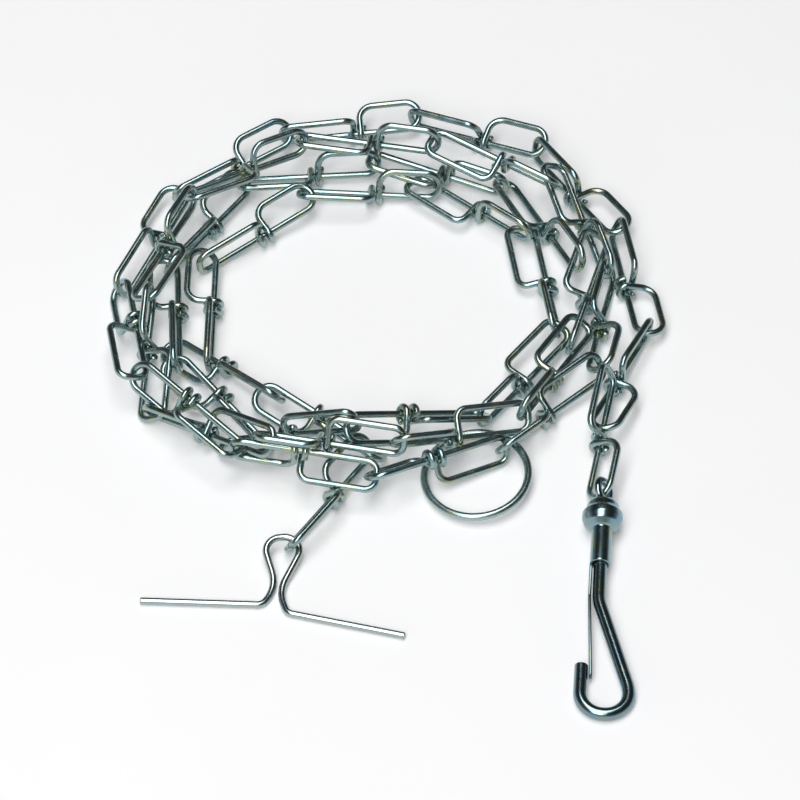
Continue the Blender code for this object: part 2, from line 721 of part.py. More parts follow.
def centre_on_floor(collection):
    """Moves the model so that the middle of its outline is the origin."""
    bpy.context.view_layer.update()
    graph = bpy.context.evaluated_depsgraph_get()
    low, high = Vector((1e9, 1e9, 1e9)), Vector((-1e9, -1e9, -1e9))
    for item in collection.objects:
        if item.type == "EMPTY":
            continue
        shown = item.evaluated_get(graph)
        for vertex in shown.to_mesh().vertices:
            place = item.matrix_world @ vertex.co
            low = Vector(map(min, low, place))
            high = Vector(map(max, high, place))
        shown.to_mesh_clear()
    move = Vector(((low.x + high.x) / -2, (low.y + high.y) / -2, -low.z))
    for item in bpy.data.objects:
        if item.parent is None:
            item.location += move


def main():
    clear_scene()
    collection = bpy.data.collections.new(COLLECTION)
    guides = bpy.data.collections.new("guides")
    for made in (collection, guides):
        bpy.context.scene.collection.children.link(made)
    pile, ring = arrange()
    frame = hook_frame()
    links(pile, collection)
    ring_on_chain(pile, ring, collection)
    toggle(collection)
    swivel_eye(frame, collection, guides)
    parent = added("hook_axis", None, collection, matrix(hook_axes(frame), frame[0]))
    swivel_barrel(frame, collection, parent)
    hook_wire(collection, parent)
    gate_metal = steel("spring_gate", (0.62, 0.65, 0.68), 0.24)
    leaf("gate_root", GATE_START, GATE_HINGE - GATE_SPLIT, 0.0, gate_metal, collection, parent)
    leaf("gate_leaf", GATE_HINGE, GATE_END, GATE_LEAN, gate_metal, collection, parent)
    centre_on_floor(collection)


if __name__ == "__main__":
    main()
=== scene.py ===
# %% [markdown]
# # A coil of knotted steel chain
#
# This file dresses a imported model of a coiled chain: 42 knotted wire links, a bent-wire toggle, a
# loose ring and a swivel snap hook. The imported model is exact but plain, with six or eight flat
# sides to every wire. Here each piece is built again with round wire and smooth bends, lies where
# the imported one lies, and gets a plated finish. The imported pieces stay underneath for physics.

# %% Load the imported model
import json
import math

import bpy
import numpy as np
from mathutils import Matrix, Vector, kdtree


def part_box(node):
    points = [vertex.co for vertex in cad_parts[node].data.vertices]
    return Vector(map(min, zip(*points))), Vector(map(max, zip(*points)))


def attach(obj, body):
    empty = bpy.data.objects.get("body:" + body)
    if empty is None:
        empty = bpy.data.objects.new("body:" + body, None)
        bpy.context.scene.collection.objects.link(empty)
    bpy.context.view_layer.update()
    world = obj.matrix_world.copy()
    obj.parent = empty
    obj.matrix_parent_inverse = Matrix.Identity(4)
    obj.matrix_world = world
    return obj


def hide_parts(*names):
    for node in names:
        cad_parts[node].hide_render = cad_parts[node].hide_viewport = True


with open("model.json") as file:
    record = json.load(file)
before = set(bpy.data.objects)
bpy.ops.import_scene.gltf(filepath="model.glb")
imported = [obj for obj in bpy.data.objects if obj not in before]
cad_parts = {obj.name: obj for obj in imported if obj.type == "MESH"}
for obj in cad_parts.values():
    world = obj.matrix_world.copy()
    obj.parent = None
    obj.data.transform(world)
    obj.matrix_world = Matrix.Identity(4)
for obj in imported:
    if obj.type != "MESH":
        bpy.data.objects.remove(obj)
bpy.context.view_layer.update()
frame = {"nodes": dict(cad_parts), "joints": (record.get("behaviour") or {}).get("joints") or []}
MM = 0.001


# %% [markdown]
# ## Where the picture was taken from
#
# The chain was laid out by reading its joints off a picture, so the same view is used twice: to
# turn a pixel into a point on the floor, and to place the camera at the end. The lens is long,
# because the picture shows almost no difference in size between the near and the far links.
# The focal length is in pixels. All other lengths are in millimetres, up to the floor and the
# lamp, which are in metres, Blender's own unit. A mesh comes to metres when it is made.

# %% From a pixel to the floor
PICTURE_SIZE = 800
MIDDLE = PICTURE_SIZE / 2
FOCAL = 4130.0
DISTANCE = 1400.0
ELEVATION = math.radians(51)
LOOK = np.array([0.0, math.cos(ELEVATION), -math.sin(ELEVATION)])
LOOK_UP = np.array([0.0, math.sin(ELEVATION), math.cos(ELEVATION)])


def unit(vector):
    """The same direction at length one."""
    return vector / math.sqrt(float((vector * vector).sum()))


def floor_point(pixel, height):
    """The point at a height above the floor that shows at a pixel."""
    across = np.array([pixel[0] - MIDDLE, 0.0, 0.0])
    ray = LOOK * FOCAL + across + LOOK_UP * (MIDDLE - pixel[1])
    eye = -LOOK * DISTANCE
    return eye + ray * (height - eye[2]) / ray[2]


print("the middle of the picture is at", floor_point((MIDDLE, MIDDLE), 0).round(3))


# %% [markdown]
# ## Bending a wire
#
# Every piece of this chain is bent from wire, and a bending machine works with straight runs and
# arcs. The helper does the same: it takes the corners of a route and a bend radius for each, and
# gives back points along the straight runs and the arcs. A curve object could do this with
# handles, but handles can't promise a true radius.

# %% Straight runs and arcs
NEAREST = 0.05


def rounded(corners, radii, steps):
    """A polyline with each inner corner turned into an arc of points more than NEAREST apart."""
    points = [np.array(corners[0], float)]
    for before, here, after, radius, count in zip(corners, corners[1:], corners[2:], radii, steps):
        here = np.array(here, float)
        back = unit(np.array(before, float) - here)
        ahead = unit(np.array(after, float) - here)
        half = math.acos(max(-1.0, min(1.0, float((back * ahead).sum())))) / 2
        centre = here + unit(back + ahead) * radius / math.sin(half)
        start = here + back * radius / math.tan(half) - centre
        end = here + ahead * radius / math.tan(half) - centre
        turn = math.pi - 2 * half
        for k in range(count + 1):
            share = k / count
            arc = start * math.sin((1 - share) * turn) + end * math.sin(share * turn)
            point = centre + arc / math.sin(turn)
            if math.dist(point, points[-1]) > NEAREST:
                points.append(point)
    points.append(np.array(corners[-1], float))
    return points


elbow = rounded(((0, 0, 0), (10, 0, 0), (10, 10, 4)), (3.0,), (8,))
print("an elbow with one bend has", len(elbow), "points")


# %% [markdown]
# ## Keeping straight runs straight
#
# Smooth shading blends the directions of neighbouring faces. So a long straight face next to a
# bend looks bent too, and the lamp's bright line fades along it. Many more faces everywhere would
# cure that. An extra ring close to each end of a straight run does the same with only two.

# %% Rings near the ends of straight runs
def with_supports(path, near):
    """Adds a point near both ends of every run of a path that is more than four times as long."""
    points = [path[0]]
    for here, there in zip(path, path[1:]):
        length = math.dist(here, there)
        if length > 4 * near:
            step = (there - here) * near / length
            points += [here + step, there - step]
        points.append(there)
    return np.array(points)


straight = np.array([[0.0, 0.0, 0.0], [10.0, 0.0, 0.0]])
print("a 10 mm run gets", len(with_supports(straight, 0.3)), "points")


# %% [markdown]
# ## Sweeping the round section
#
# A round section is swept along the route. The two cross directions are carried from point to
# point with the least turning, so the skin doesn't twist. Each vertex also keeps its place on the
# wire: two numbers round the section and one along it. The finish uses them later for the fine
# lines that the drawing die leaves along real wire. A curve with a bevel would be swept as well,
# but it couldn't carry those numbers. Both ends are cut square with a tiny bevel.

# %% Directions across a wire
FIRST_GUESS = (0.3, 0.5, 0.81)  # no wire here starts out this way


def cross_directions(path):
    """Two directions across the path at each point, and the one ahead."""
    ahead = np.gradient(path, axis=0)
    ahead /= np.linalg.norm(ahead, axis=1)[:, None]
    first = np.cross(ahead[0], FIRST_GUESS)
    firsts = []
    for direction in ahead:
        first = unit(first - direction * float((first * direction).sum()))
        firsts.append(first)
    firsts = np.array(firsts)
    return firsts, np.cross(ahead, firsts), ahead


print("directions across a straight run:", *[way[0].round(2) for way in cross_directions(straight)])


# %% A skin over rows of points
def skin(rows, count, rows_close=True, points_close=True, inside_out=False):
    """The faces between rows of points. Rows and their points close round unless told not to."""
    faces = []
    for row in range(rows if rows_close else rows - 1):
        here, there = row * count, (row + 1) % rows * count
        for k in range(count if points_close else count - 1):
            beside = (k + 1) % count
            face = (here + k, there + k, there + beside, here + beside)
            faces.append(face[:1] + face[:0:-1] if inside_out else face)
    return faces


def mesh_from(name, points, faces, on_wire):
    """A smooth-shaded mesh in metres, with each point's place on the wire."""
    mesh = bpy.data.meshes.new(name)
    mesh.from_pydata((np.array(points) * MM).tolist(), [], faces)
    mesh.polygons.foreach_set("use_smooth", [True] * len(mesh.polygons))
    place = mesh.attributes.new("on_wire", "FLOAT_VECTOR", "POINT")
    place.data.foreach_set("vector", np.array(on_wire, np.float32).ravel())
    return mesh


print("16 rows of 5 points have", len(skin(16, 5, points_close=False)), "faces between them")


# %% Round wire from a route
PAST_BEVEL = 0.05


def lengths_along(path):
    """How far along the path each point is."""
    return np.concatenate([[0.0], np.cumsum(np.linalg.norm(np.diff(path, axis=0), axis=1))])


def round_wire(name, route, radius, sides=16, bevel=0.25):
    """A closed round wire along a route, its two ends cut square with a small bevel."""
    path = with_supports(np.array(route), bevel + PAST_BEVEL)
    first, second, ahead = cross_directions(path)
    path = np.concatenate([path[:1], path[:1] + ahead[:1] * bevel, path[1:-1],
                           path[-1:] - ahead[-1:] * bevel, path[-1:]])
    first = np.concatenate([first[:1], first, first[-1:]])
    second = np.concatenate([second[:1], second, second[-1:]])
    sizes = np.full(len(path), radius)
    sizes[[0, -1]] = radius - bevel
    along = lengths_along(path)
    points, on_wire = [], []
    for k in range(sides):
        angle = 2 * math.pi * k / sides
        cross = first * math.cos(angle) + second * math.sin(angle)
        points.append(path + cross * sizes[:, None])
        round_place = np.array([radius * math.cos(angle), radius * math.sin(angle)])
        on_wire.append(np.column_stack([np.tile(round_place, (len(path), 1)), along]))
    count = len(path)
    faces = skin(sides, count, points_close=False)
    faces.append([k * count for k in range(sides)][::-1])
    faces.append([k * count + count - 1 for k in range(sides)])
    return mesh_from(name, np.concatenate(points), faces, np.concatenate(on_wire))


print("the elbow's wire is", round(float(lengths_along(elbow)[-1]), 2), "mm long")


# %% [markdown]
# ## The shape of one link
#
# One link is one piece of wire. It makes a rectangular loop and a round loop on one straight
# spine, like two pages of a book that is open at 70 degrees. At the middle each end of the wire
# turns round the spine and is cut off, and those two turns are the knot. Two flat loops pushed
# into each other would be quicker, but then the knot would show no wire going round. The numbers
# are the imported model's, so that the shapes agree. Only the corners are bent a little rounder, to
# come nearer to the picture.

# %% Sizes of a link
WIRE = 2.2
LOOP_WIDTH = 9.7  # spine to far side
RECT_LENGTH = 26.6  # knot to rectangular end
ROUND_LENGTH = 22.6  # knot to round end
PAGE_ANGLE = math.radians(70)
PACKED_CORNER = 3.0  # bend radius of the rectangular loop, as packed
FINE_CORNER = 3.5  # the same bend here
SHOULDER = 5.0  # bend radius where the round loop turns in to the knot
BAR_FROM_KNOT = 1.25  # knot to the bar that closes each loop
WRAP_RADIUS = 2.45  # centre line of the turn round the spine
WRAP_TURN = math.radians(240)
WRAP_ADVANCE = 1.0  # how far the turn moves along the spine
TAIL = 1.6
print("a link is", round(RECT_LENGTH + ROUND_LENGTH, 1), "mm between its end wires")


# %% The turn round the spine
def around(angle, radius):
    """The point at this angle and distance from the spine, in its cross plane."""
    return np.array([0.0, radius * math.cos(angle), radius * math.sin(angle)])


def wrap(page, side, sense, steps):
    """The turn of the wire round the spine and its cut tail, from the end of the bar on."""
    first = page + sense * math.acos(WRAP_RADIUS / LOOP_WIDTH)
    points = []
    for k in range(steps + 1):
        share = k / steps
        eased = share * share * (3 - 2 * share)
        point = around(first + sense * WRAP_TURN * share, WRAP_RADIUS)
        point[0] = side * (BAR_FROM_KNOT + WRAP_ADVANCE * eased)
        points.append(point)
    heading = first + sense * (WRAP_TURN + math.pi / 2)
    points.append(points[-1] + around(heading, TAIL))
    return points


print("a turn in five steps has", len(wrap(0.0, 1, 1, 5)), "points with its tail")


# %% The centre line of a link
PACKED_STEPS = (1, 1, 1, 2, 2, 2)
PACKED_WRAP_STEPS = 5


def link_route(corner, wrap_steps, bend_steps):
    """The centre line of one link, tail to tail. The spine is the X axis, the knot the origin."""
    rect_far = around(PAGE_ANGLE / 2, LOOP_WIDTH)
    round_far = around(-PAGE_ANGLE / 2, LOOP_WIDTH)
    along = np.array([1.0, 0.0, 0.0])
    rect_wrap = wrap(PAGE_ANGLE / 2, -1, -1, wrap_steps)
    round_wrap = wrap(-PAGE_ANGLE / 2, 1, 1, wrap_steps)
    corners = (
        rect_wrap[0],
        rect_far - along * BAR_FROM_KNOT,
        rect_far - along * RECT_LENGTH,
        -along * RECT_LENGTH,
        along * ROUND_LENGTH,
        round_far + along * ROUND_LENGTH,
        round_far + along * BAR_FROM_KNOT,
        round_wrap[0],
    )
    half = LOOP_WIDTH / 2
    radii = (corner, corner, corner, half, half, SHOULDER)
    return np.array(rect_wrap[:0:-1] + rounded(corners, radii, bend_steps) + round_wrap[1:])


packed_route = link_route(PACKED_CORNER, PACKED_WRAP_STEPS, PACKED_STEPS)
print("packed route", len(packed_route), "points")


# %% [markdown]
# ## Finding where each packed link lies
#
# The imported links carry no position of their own: each one's place is in its vertices. So one
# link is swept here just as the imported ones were, with six sides, and is laid over each packed
# link. The three main directions of both clouds of vertices give four ways to lay one over the
# other. The best is kept, and each try is drawn in by pairing every vertex with its nearest. The
# 42 places could be written down as numbers instead, but measured places can't go out of date.

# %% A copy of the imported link
def six_sided(route, radius):
    """The vertices of a packed wire: a curve with a six-sided bevel, before it is placed."""
    curve = bpy.data.curves.new("six_sided", "CURVE")
    curve.dimensions = "3D"
    curve.twist_mode = "MINIMUM"
    curve.bevel_depth = radius * MM
    curve.bevel_resolution = 1
    curve.use_fill_caps = True
    spline = curve.splines.new("POLY")
    spline.points.add(len(route) - 1)
    for point, place in zip(spline.points, route):
        point.co = (*[float(value) * MM for value in place], 1.0)
    item = bpy.data.objects.new("six_sided", curve)
    mesh = item.to_mesh()
    points = np.array([vertex.co for vertex in mesh.vertices], float)
    item.to_mesh_clear()
    bpy.data.objects.remove(item)
    bpy.data.curves.remove(curve)
    return points


def own_points(node):
    """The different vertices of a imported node, in metres."""
    points = np.array([vertex.co for vertex in frame["nodes"][node].data.vertices], float)
    return np.unique(points.round(6), axis=0)


copy_points = six_sided(packed_route, WIRE / 2)
print("the copy has", len(copy_points), "vertices, link_01 has", len(own_points("link_01")))


# %% Laying points over points
def main_directions(points):
    """The directions in which points spread least, more and most, as a right-handed turn."""
    _, directions = np.linalg.eigh(np.cov((points - points.mean(axis=0)).T))
    if np.linalg.det(directions) < 0:
        directions[:, 0] *= -1
    return directions


def best_turn(moving, fixed):
    """The turn and shift that bring paired points nearest to each other."""
    middle, goal = moving.mean(axis=0), fixed.mean(axis=0)
    one, _, two = np.linalg.svd((moving - middle).T @ (fixed - goal))
    flip = np.diag([1.0, 1.0, np.sign(np.linalg.det(two.T @ one.T))])
    turn = two.T @ flip @ one.T
    return turn, goal - turn @ middle


print("main directions of link_01:", *main_directions(own_points("link_01")).T.round(2))


# %% Laying the copy over each packed link
WAYS_TO_LIE = ((1, 1, 1), (1, -1, -1), (-1, 1, -1), (-1, -1, 1))
PAIRING_ROUNDS = 4


def lay_over(moving, fixed):
    """The matrix that lays the moving points over the fixed ones, and the mean distance left."""
    tree = kdtree.KDTree(len(fixed))
    for index, point in enumerate(fixed):
        tree.insert(point, index)
    tree.balance()
    best = None
    for signs in WAYS_TO_LIE:
        turn = main_directions(fixed) @ np.diag(signs) @ main_directions(moving).T
        shift = fixed.mean(axis=0) - turn @ moving.mean(axis=0)
        for _ in range(PAIRING_ROUNDS):
            found = [tree.find(point) for point in moving @ turn.T + shift]
            turn, shift = best_turn(moving, fixed[[index for _, index, _ in found]])
        left = sum(distance for _, _, distance in found) / len(found)
        if best is None or left < best[1]:
            best = (turn, left, shift)
    turn, left, shift = best
    rows = [[*map(float, row), float(value)] for row, value in zip(turn, shift)]
    return Matrix(rows + [[0.0, 0.0, 0.0, 1.0]]), left


LINK_NODES = sorted(name for name in frame["nodes"] if name.startswith("link_"))
laid = {node: lay_over(copy_points, own_points(node)) for node in LINK_NODES}
print("links laid over:", len(laid), "largest mean distance",
      round(max(left for _, left in laid.values()) / MM, 4), "mm")


# %% [markdown]
# ## The links
#
# With its place known, each link is made from one finely swept wire. It is drawn a little thicker
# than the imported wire, whose six flat sides show narrower than the round wire they stand for. The
# mesh is the same for all links, and they could share it, but each gets its own copy, because
# each carries its own number from 0 to 1. The finish reads that number, so no two links have the
# same clouds in their plating. Steps of the golden ratio spread the numbers evenly.

# %% Putting a piece in its place
def with_batch(mesh, own_number):
    """Stores a piece's own number on its mesh."""
    number = mesh.attributes.new("batch", "FLOAT", "POINT")
    number.data.foreach_set("value", [own_number] * len(mesh.vertices))
    return mesh


def shown(name, mesh, placement, body, *nodes):
    """A new piece on a body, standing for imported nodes. Its place goes into its mesh."""
    mesh.transform(placement)
    piece = bpy.data.objects.new(name, mesh)
    bpy.context.scene.collection.objects.link(piece)
    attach(piece, body)
    if nodes:
        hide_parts(*nodes)
    return piece


# %% Round-wire links
SHOWN_WIRE = 2.36
FINE_STEPS = (8, 8, 8, 14, 14, 10)
FINE_WRAP_STEPS = 40
GOLDEN_STEP = 0.618034

fine_route = link_route(FINE_CORNER, FINE_WRAP_STEPS, FINE_STEPS)
fine_link = round_wire("fine_link", fine_route, SHOWN_WIRE / 2)
links = []
for number, node in enumerate(LINK_NODES):
    mesh = with_batch(fine_link.copy(), own_number=number * GOLDEN_STEP % 1.0)
    links.append(shown("round_" + node, mesh, laid[node][0], "chain", node))
print("links", len(links), "with", len(fine_link.polygons), "faces each")


# %% [markdown]
# ## The toggle
#
# The toggle is one wire: two arms that lie on the floor and an eye between them that rises over
# the first link. Its corners were read in the picture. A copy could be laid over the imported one,
# as with the links, but here the route is known and only a move is missing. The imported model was
# moved after it was laid out, so that its middle is the origin, and the toggle tells how far: its
# packed box against the box of the same route made here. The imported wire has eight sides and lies
# on one of them, so its centre line is a little lower than a round wire's, and the round one is
# lifted by that much.

# %% The toggle's wire
TOGGLE_WIRE = 2.4
TOGGLE_EYE_LIFT = 4.6
TOGGLE_ROUTE = ((140, 601), (262, 605), (277, 588), (262, 548),
                (310, 543), (279, 592), (287, 613), (405, 636))
TOGGLE_EYE_CORNERS = (3, 4)
TOGGLE_BENDS = (3.0, 12.0, 4.8, 4.8, 12.0, 3.0)
PACKED_TOGGLE_STEPS = (2, 2, 3, 3, 2, 2)
HALF_SIDE_ANGLE = math.pi / 8


def toggle_route(bend_steps):
    """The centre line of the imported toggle, arm end to arm end."""
    height = TOGGLE_WIRE / 2 * math.cos(HALF_SIDE_ANGLE)
    corners = [floor_point(pixel, height) for pixel in TOGGLE_ROUTE]
    for k in TOGGLE_EYE_CORNERS:
        corners[k][2] += TOGGLE_EYE_LIFT
    return np.array(rounded(corners, TOGGLE_BENDS, bend_steps))


low, high = (np.array(corner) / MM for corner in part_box("toggle"))
packed_toggle = toggle_route(PACKED_TOGGLE_STEPS)
moved = (low + high) / 2 - (packed_toggle.min(axis=0) + packed_toggle.max(axis=0)) / 2
moved[2] = 0.0
print("the packed model was moved by", moved.round(3), "mm")


# %% The toggle's piece
TOGGLE_STEPS = (8, 12, 14, 14, 12, 8)
TOGGLE_LIFT = TOGGLE_WIRE / 2 * (1 - math.cos(HALF_SIDE_ANGLE))

placement = Matrix.Translation(Vector(moved + [0.0, 0.0, TOGGLE_LIFT]) * MM)
mesh = round_wire("toggle_wire", toggle_route(TOGGLE_STEPS), TOGGLE_WIRE / 2, sides=20, bevel=0.3)
toggle = shown("round_toggle", with_batch(mesh, own_number=0.3), placement, "chain", "toggle")
print("toggle", len(mesh.polygons), "faces")


# %% [markdown]
# ## The loose ring
#
# The ring is a welded hoop of thicker wire that hangs on one link. A hoop has no ends, so its
# sweep closes on itself. Blender's torus has the same shape, but no place on the wire for the
# finish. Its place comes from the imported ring: the middle of the vertices, and the direction in
# which they spread least is the hoop's axis.

# %% A closed hoop
def hoop(name, radius, wire, count, sides):
    """A closed ring of round wire in the XY plane, from its radius and the wire's."""
    points, on_wire = [], []
    for j in range(count):
        turn = 2 * math.pi * j / count
        out = np.array([math.cos(turn), math.sin(turn), 0.0])
        for k in range(sides):
            angle = 2 * math.pi * k / sides
            side, up = wire * math.cos(angle), wire * math.sin(angle)
            points.append(out * (radius + side) + np.array([0.0, 0.0, up]))
            on_wire.append((side, up, radius * turn))
    return mesh_from(name, points, skin(count, sides), on_wire)


RING_WIRE = 2.7
RING_RADIUS = 17.4
ring_points = own_points("ring")
axis = Vector(main_directions(ring_points)[:, 0])
placement = axis.to_track_quat("Z", "Y").to_matrix().to_4x4()
placement.translation = Vector(ring_points.mean(axis=0))
mesh = hoop("ring_wire", RING_RADIUS, RING_WIRE / 2, count=120, sides=20)
ring = shown("round_ring", with_batch(mesh, own_number=0.7), placement, "chain", "ring")
lean = math.degrees(axis.angle(Vector((0, 0, 1))))
print("the ring's axis leans", round(min(lean, 180 - lean), 1), "degrees")


# %% [markdown]
# ## The hook's own axes
#
# The snap hook turns on its swivel, so its joint already says where its axis is and which way it
# points. The gate's joint gives the direction that is up on the hook, and the first packed
# vertex of the cup along the axis gives its rim. With these, every piece of the hook can be made
# lying along its own Z axis, measured from the rim, and placed at once. That is easier to read
# than points that are already turned.

# %% The hook's placement
joints = {joint["name"]: joint for joint in frame["joints"]}
along = Vector(joints["hook_swivel"]["axis"]).normalized()
above = Vector(joints["gate_flex"]["axis"]).normalized()
right = above.cross(along).normalized()
pivot = Vector(joints["hook_swivel"]["pos_m"])
to_rim = ((own_points("swivel_barrel") - np.array(pivot)) @ np.array(along)).min()
on_hook = Matrix((right, along.cross(right), along)).transposed().to_4x4()
on_hook.translation = pivot + along * float(to_rim)
print("the hook points along", [round(value, 3) for value in along])
print("its rim is", round(to_rim / MM, 2), "mm on from the joint")


# %% [markdown]
# ## The swivel cup and its ferrule
#
# The cup was drawn from thick tube and holds the head of the swivel rivet, and its lower part is
# the ferrule that grips the hook wire. It is round, so its outline is turned about the axis, as
# a Screw modifier would do. Real pressed metal has no sharp edges, so the corners of the outline
# are rounded first, each with its own radius, which a modifier can't do as simply.

# %% Turning an outline
EDGE_STEPS = 4
NEAR_EDGE = 0.1


def turned(name, outline, radii, steps):
    """A closed body turned about Z from a closed outline of radius and height, edges rounded."""
    corners = [np.array([radius, 0.0, height]) for radius, height in outline]
    start = (corners[-1] + corners[0]) / 2
    edges = rounded([start, *corners, start], radii, [EDGE_STEPS] * len(corners))
    path = with_supports(edges, NEAR_EDGE)[:-1]
    length = lengths_along(path)
    points, on_wire = [], []
    for k in range(steps):
        angle = 2 * math.pi * k / steps
        for place, far in zip(path, length):
            across, up = place[0] * math.cos(angle), place[0] * math.sin(angle)
            points.append((across, up, place[2]))
            on_wire.append((across, up, far))
    return mesh_from(name, points, skin(steps, len(path), inside_out=True), on_wire)


FERRULE_END = 24.0
CUP_OUTLINE = (
    (3.4, FERRULE_END), (3.4, 10.4), (4.2, 10.0), (5.9, 8.5), (6.75, 6.4), (6.75, 4.3), (5.6, 2.8),
    (5.3, 1.0), (4.7, 0.0), (1.9, 0.0), (1.9, 2.4), (4.2, 2.4), (4.2, 5.2), (2.35, 5.2),
    (2.35, FERRULE_END),
)
CUP_EDGES = (0.5, 0.5, 0.6, 1.2, 1.4, 1.2, 1.0, 1.0, 0.4, 0.3, 0.1, 0.1, 0.1, 0.1, 0.5)
mesh = with_batch(turned("cup", CUP_OUTLINE, CUP_EDGES, steps=96), own_number=0.15)
barrel = shown("turned_swivel_barrel", mesh, on_hook, "hook", "swivel_barrel")
print("swivel cup", len(mesh.polygons), "faces")


# %% [markdown]
# ## The swivel eye
#
# The last link holds this eye. Its stem goes through the top of the cup and is headed over inside
# it, so that it can turn but not pull out. The eye is a hoop and the stem is turned. They stay two
# pieces that run into each other, because a true join would need cut faces and nobody could see
# it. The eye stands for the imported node, and the stem goes with it on the same body.

# %% The eye and its stem
EYE_WIRE = 2.6
EYE_RADIUS = 3.6
EYE_CENTRE = -5.3
EYE_PLANE_TURN = math.radians(-55)
STEM_OUTLINE = ((0.05, 4.3), (3.2, 4.3), (3.2, 2.9), (1.5, 2.9), (1.5, -2.1), (0.05, -2.1))
STEM_EDGES = (0.01, 0.2, 0.1, 0.1, 0.1, 0.01)

eye_turn = Matrix.Rotation(EYE_PLANE_TURN, 4, "Z") @ Matrix.Rotation(math.radians(90), 4, "X")
eye_mesh = hoop("eye_hoop", EYE_RADIUS, EYE_WIRE / 2, count=64, sides=20)
eye_mesh.transform(Matrix.Translation((0.0, 0.0, EYE_CENTRE * MM)) @ eye_turn)
stem_mesh = turned("eye_stem", STEM_OUTLINE, STEM_EDGES, steps=32)
for mesh in (eye_mesh, stem_mesh):
    with_batch(mesh, own_number=0.55)
eye_piece = shown("round_swivel_eye", eye_mesh, on_hook, "chain", "swivel_eye")
stem_piece = shown("turned_swivel_stem", stem_mesh, on_hook, "chain")
print("eye and stem", len(eye_mesh.polygons) + len(stem_mesh.polygons), "faces")


# %% [markdown]
# ## The hook wire
#
# The hook is one thick wire. It comes out of the ferrule, leans aside, turns back in a wide bend
# and ends in a short nose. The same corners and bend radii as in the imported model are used, only
# with many more points in each bend, and the wire is a little thicker, as it measures in the
# picture. It still clears the ferrule's hole and the gate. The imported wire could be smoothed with
# a modifier, but that would pull its bends in.

# %% The bent hook
HOOK_WIRE = 4.4
HOOK_ROUTE = ((12.0, 0.0), (38.0, 0.2), (70.5, 11.0), (80.6, 11.6), (80.6, -4.45), (62.7, -4.45))
HOOK_BENDS = (14.0, 14.0, 7.6, 7.6)
HOOK_STEPS = (12, 10, 24, 24)

corners = [(side, 0.0, far) for far, side in HOOK_ROUTE]
route = rounded(corners, HOOK_BENDS, HOOK_STEPS)
mesh = round_wire("hook_bend", route, HOOK_WIRE / 2, sides=28, bevel=0.35)
hook = shown("round_hook_wire", with_batch(mesh, own_number=0.85), on_hook, "hook", "hook_wire")
print("hook", len(mesh.polygons), "faces")


# %% [markdown]
# ## The spring gate
#
# The gate is a flat strip of spring steel. It is held in the ferrule, runs straight to the nose
# and bends in when something is pushed against it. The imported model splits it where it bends
# most, with the long part on its own joint, so two strips are made here that meet at that line.
# The long one leans three degrees towards the hook, so that its tip rests inside the nose. A
# stretched cube would do for a strip, but real strip has round edges that catch the light. So a
# rounded rectangle is drawn out along the length, and the free end is rounded off.

# %% The strip's section
GATE_THICK = 1.0
GATE_WIDTH = 3.4
GATE_EDGE = 0.3
EDGE_ARC_STEPS = 4


def strip_section():
    """The corners of the strip's section, each one a small arc."""
    points = []
    for side, up, start in ((1, 1, 0), (-1, 1, 90), (-1, -1, 180), (1, -1, 270)):
        for k in range(EDGE_ARC_STEPS + 1):
            angle = math.radians(start + 90 / EDGE_ARC_STEPS * k)
            points.append((side * (GATE_THICK / 2 - GATE_EDGE) + GATE_EDGE * math.cos(angle),
                           up * (GATE_WIDTH / 2 - GATE_EDGE) + GATE_EDGE * math.sin(angle)))
    return points


print("the strip's section has", len(strip_section()), "points")


# %% Flat strips
GATE_SIDE = -2.95
END_BREAK = 0.08
END_NARROWED = 0.9
TIP_STEPS = 8
TIP_LEAST = 0.02


def strip(name, start, end, tip):
    """A flat strip along Z whose far end narrows over the length of its tip."""
    stations = [(start, END_NARROWED), (start + END_BREAK, 1.0), (start + 2 * END_BREAK, 1.0)]
    for k in range(1, TIP_STEPS + 1):
        share = k / TIP_STEPS
        narrow = math.sqrt(max(1 - share * share, TIP_LEAST))
        stations.append((end - tip * (1 - share), narrow))
    section = strip_section()
    points, on_wire = [], []
    for far, narrow in stations:
        for across, up in section:
            points.append((GATE_SIDE + across, up * narrow, far))
            on_wire.append((across, up, far))
    rows, count = len(stations), len(section)
    faces = skin(rows, count, rows_close=False, inside_out=True)
    faces.append(list(range(count))[::-1])
    faces.append([(rows - 1) * count + k for k in range(count)])
    return mesh_from(name, points, faces, on_wire)


GATE_START = FERRULE_END + 0.35
GATE_HINGE = 37.0
GATE_GAP = 0.2
GATE_END = 67.5
root_mesh = strip("gate_start", GATE_START, GATE_HINGE - GATE_GAP, tip=0.05)
leaf_mesh = strip("gate_strip", GATE_HINGE, GATE_END, tip=1.5)
print("gate", len(root_mesh.polygons) + len(leaf_mesh.polygons), "faces")


# %% The two halves of the gate
GATE_LEAN = math.radians(3)

at_hinge = Matrix.Translation((GATE_SIDE * MM, 0.0, GATE_HINGE * MM))
leaf_mesh.transform(at_hinge @ Matrix.Rotation(GATE_LEAN, 4, "Y") @ at_hinge.inverted())
with_batch(root_mesh, own_number=0.4)
with_batch(leaf_mesh, own_number=0.42)
gate_root = shown("strip_gate_root", root_mesh, on_hook, "hook", "gate_root")
gate_leaf = shown("strip_gate_leaf", leaf_mesh, on_hook, "gate", "gate_leaf")
print("the gate's long half leans", round(math.degrees(GATE_LEAN), 1), "degrees")


# %% [markdown]
# ## Writing a finish as a formula
#
# A finish is a small network of nodes, and so is the light of a room. It could be drawn by hand
# in the Shader Editor, but a formula is easier to read in a file. One class wraps a node's
# output, and the signs + - * on it add the Math nodes that do the same. One more class holds the
# network and has a single method that adds any node: first its settings, then its sockets.

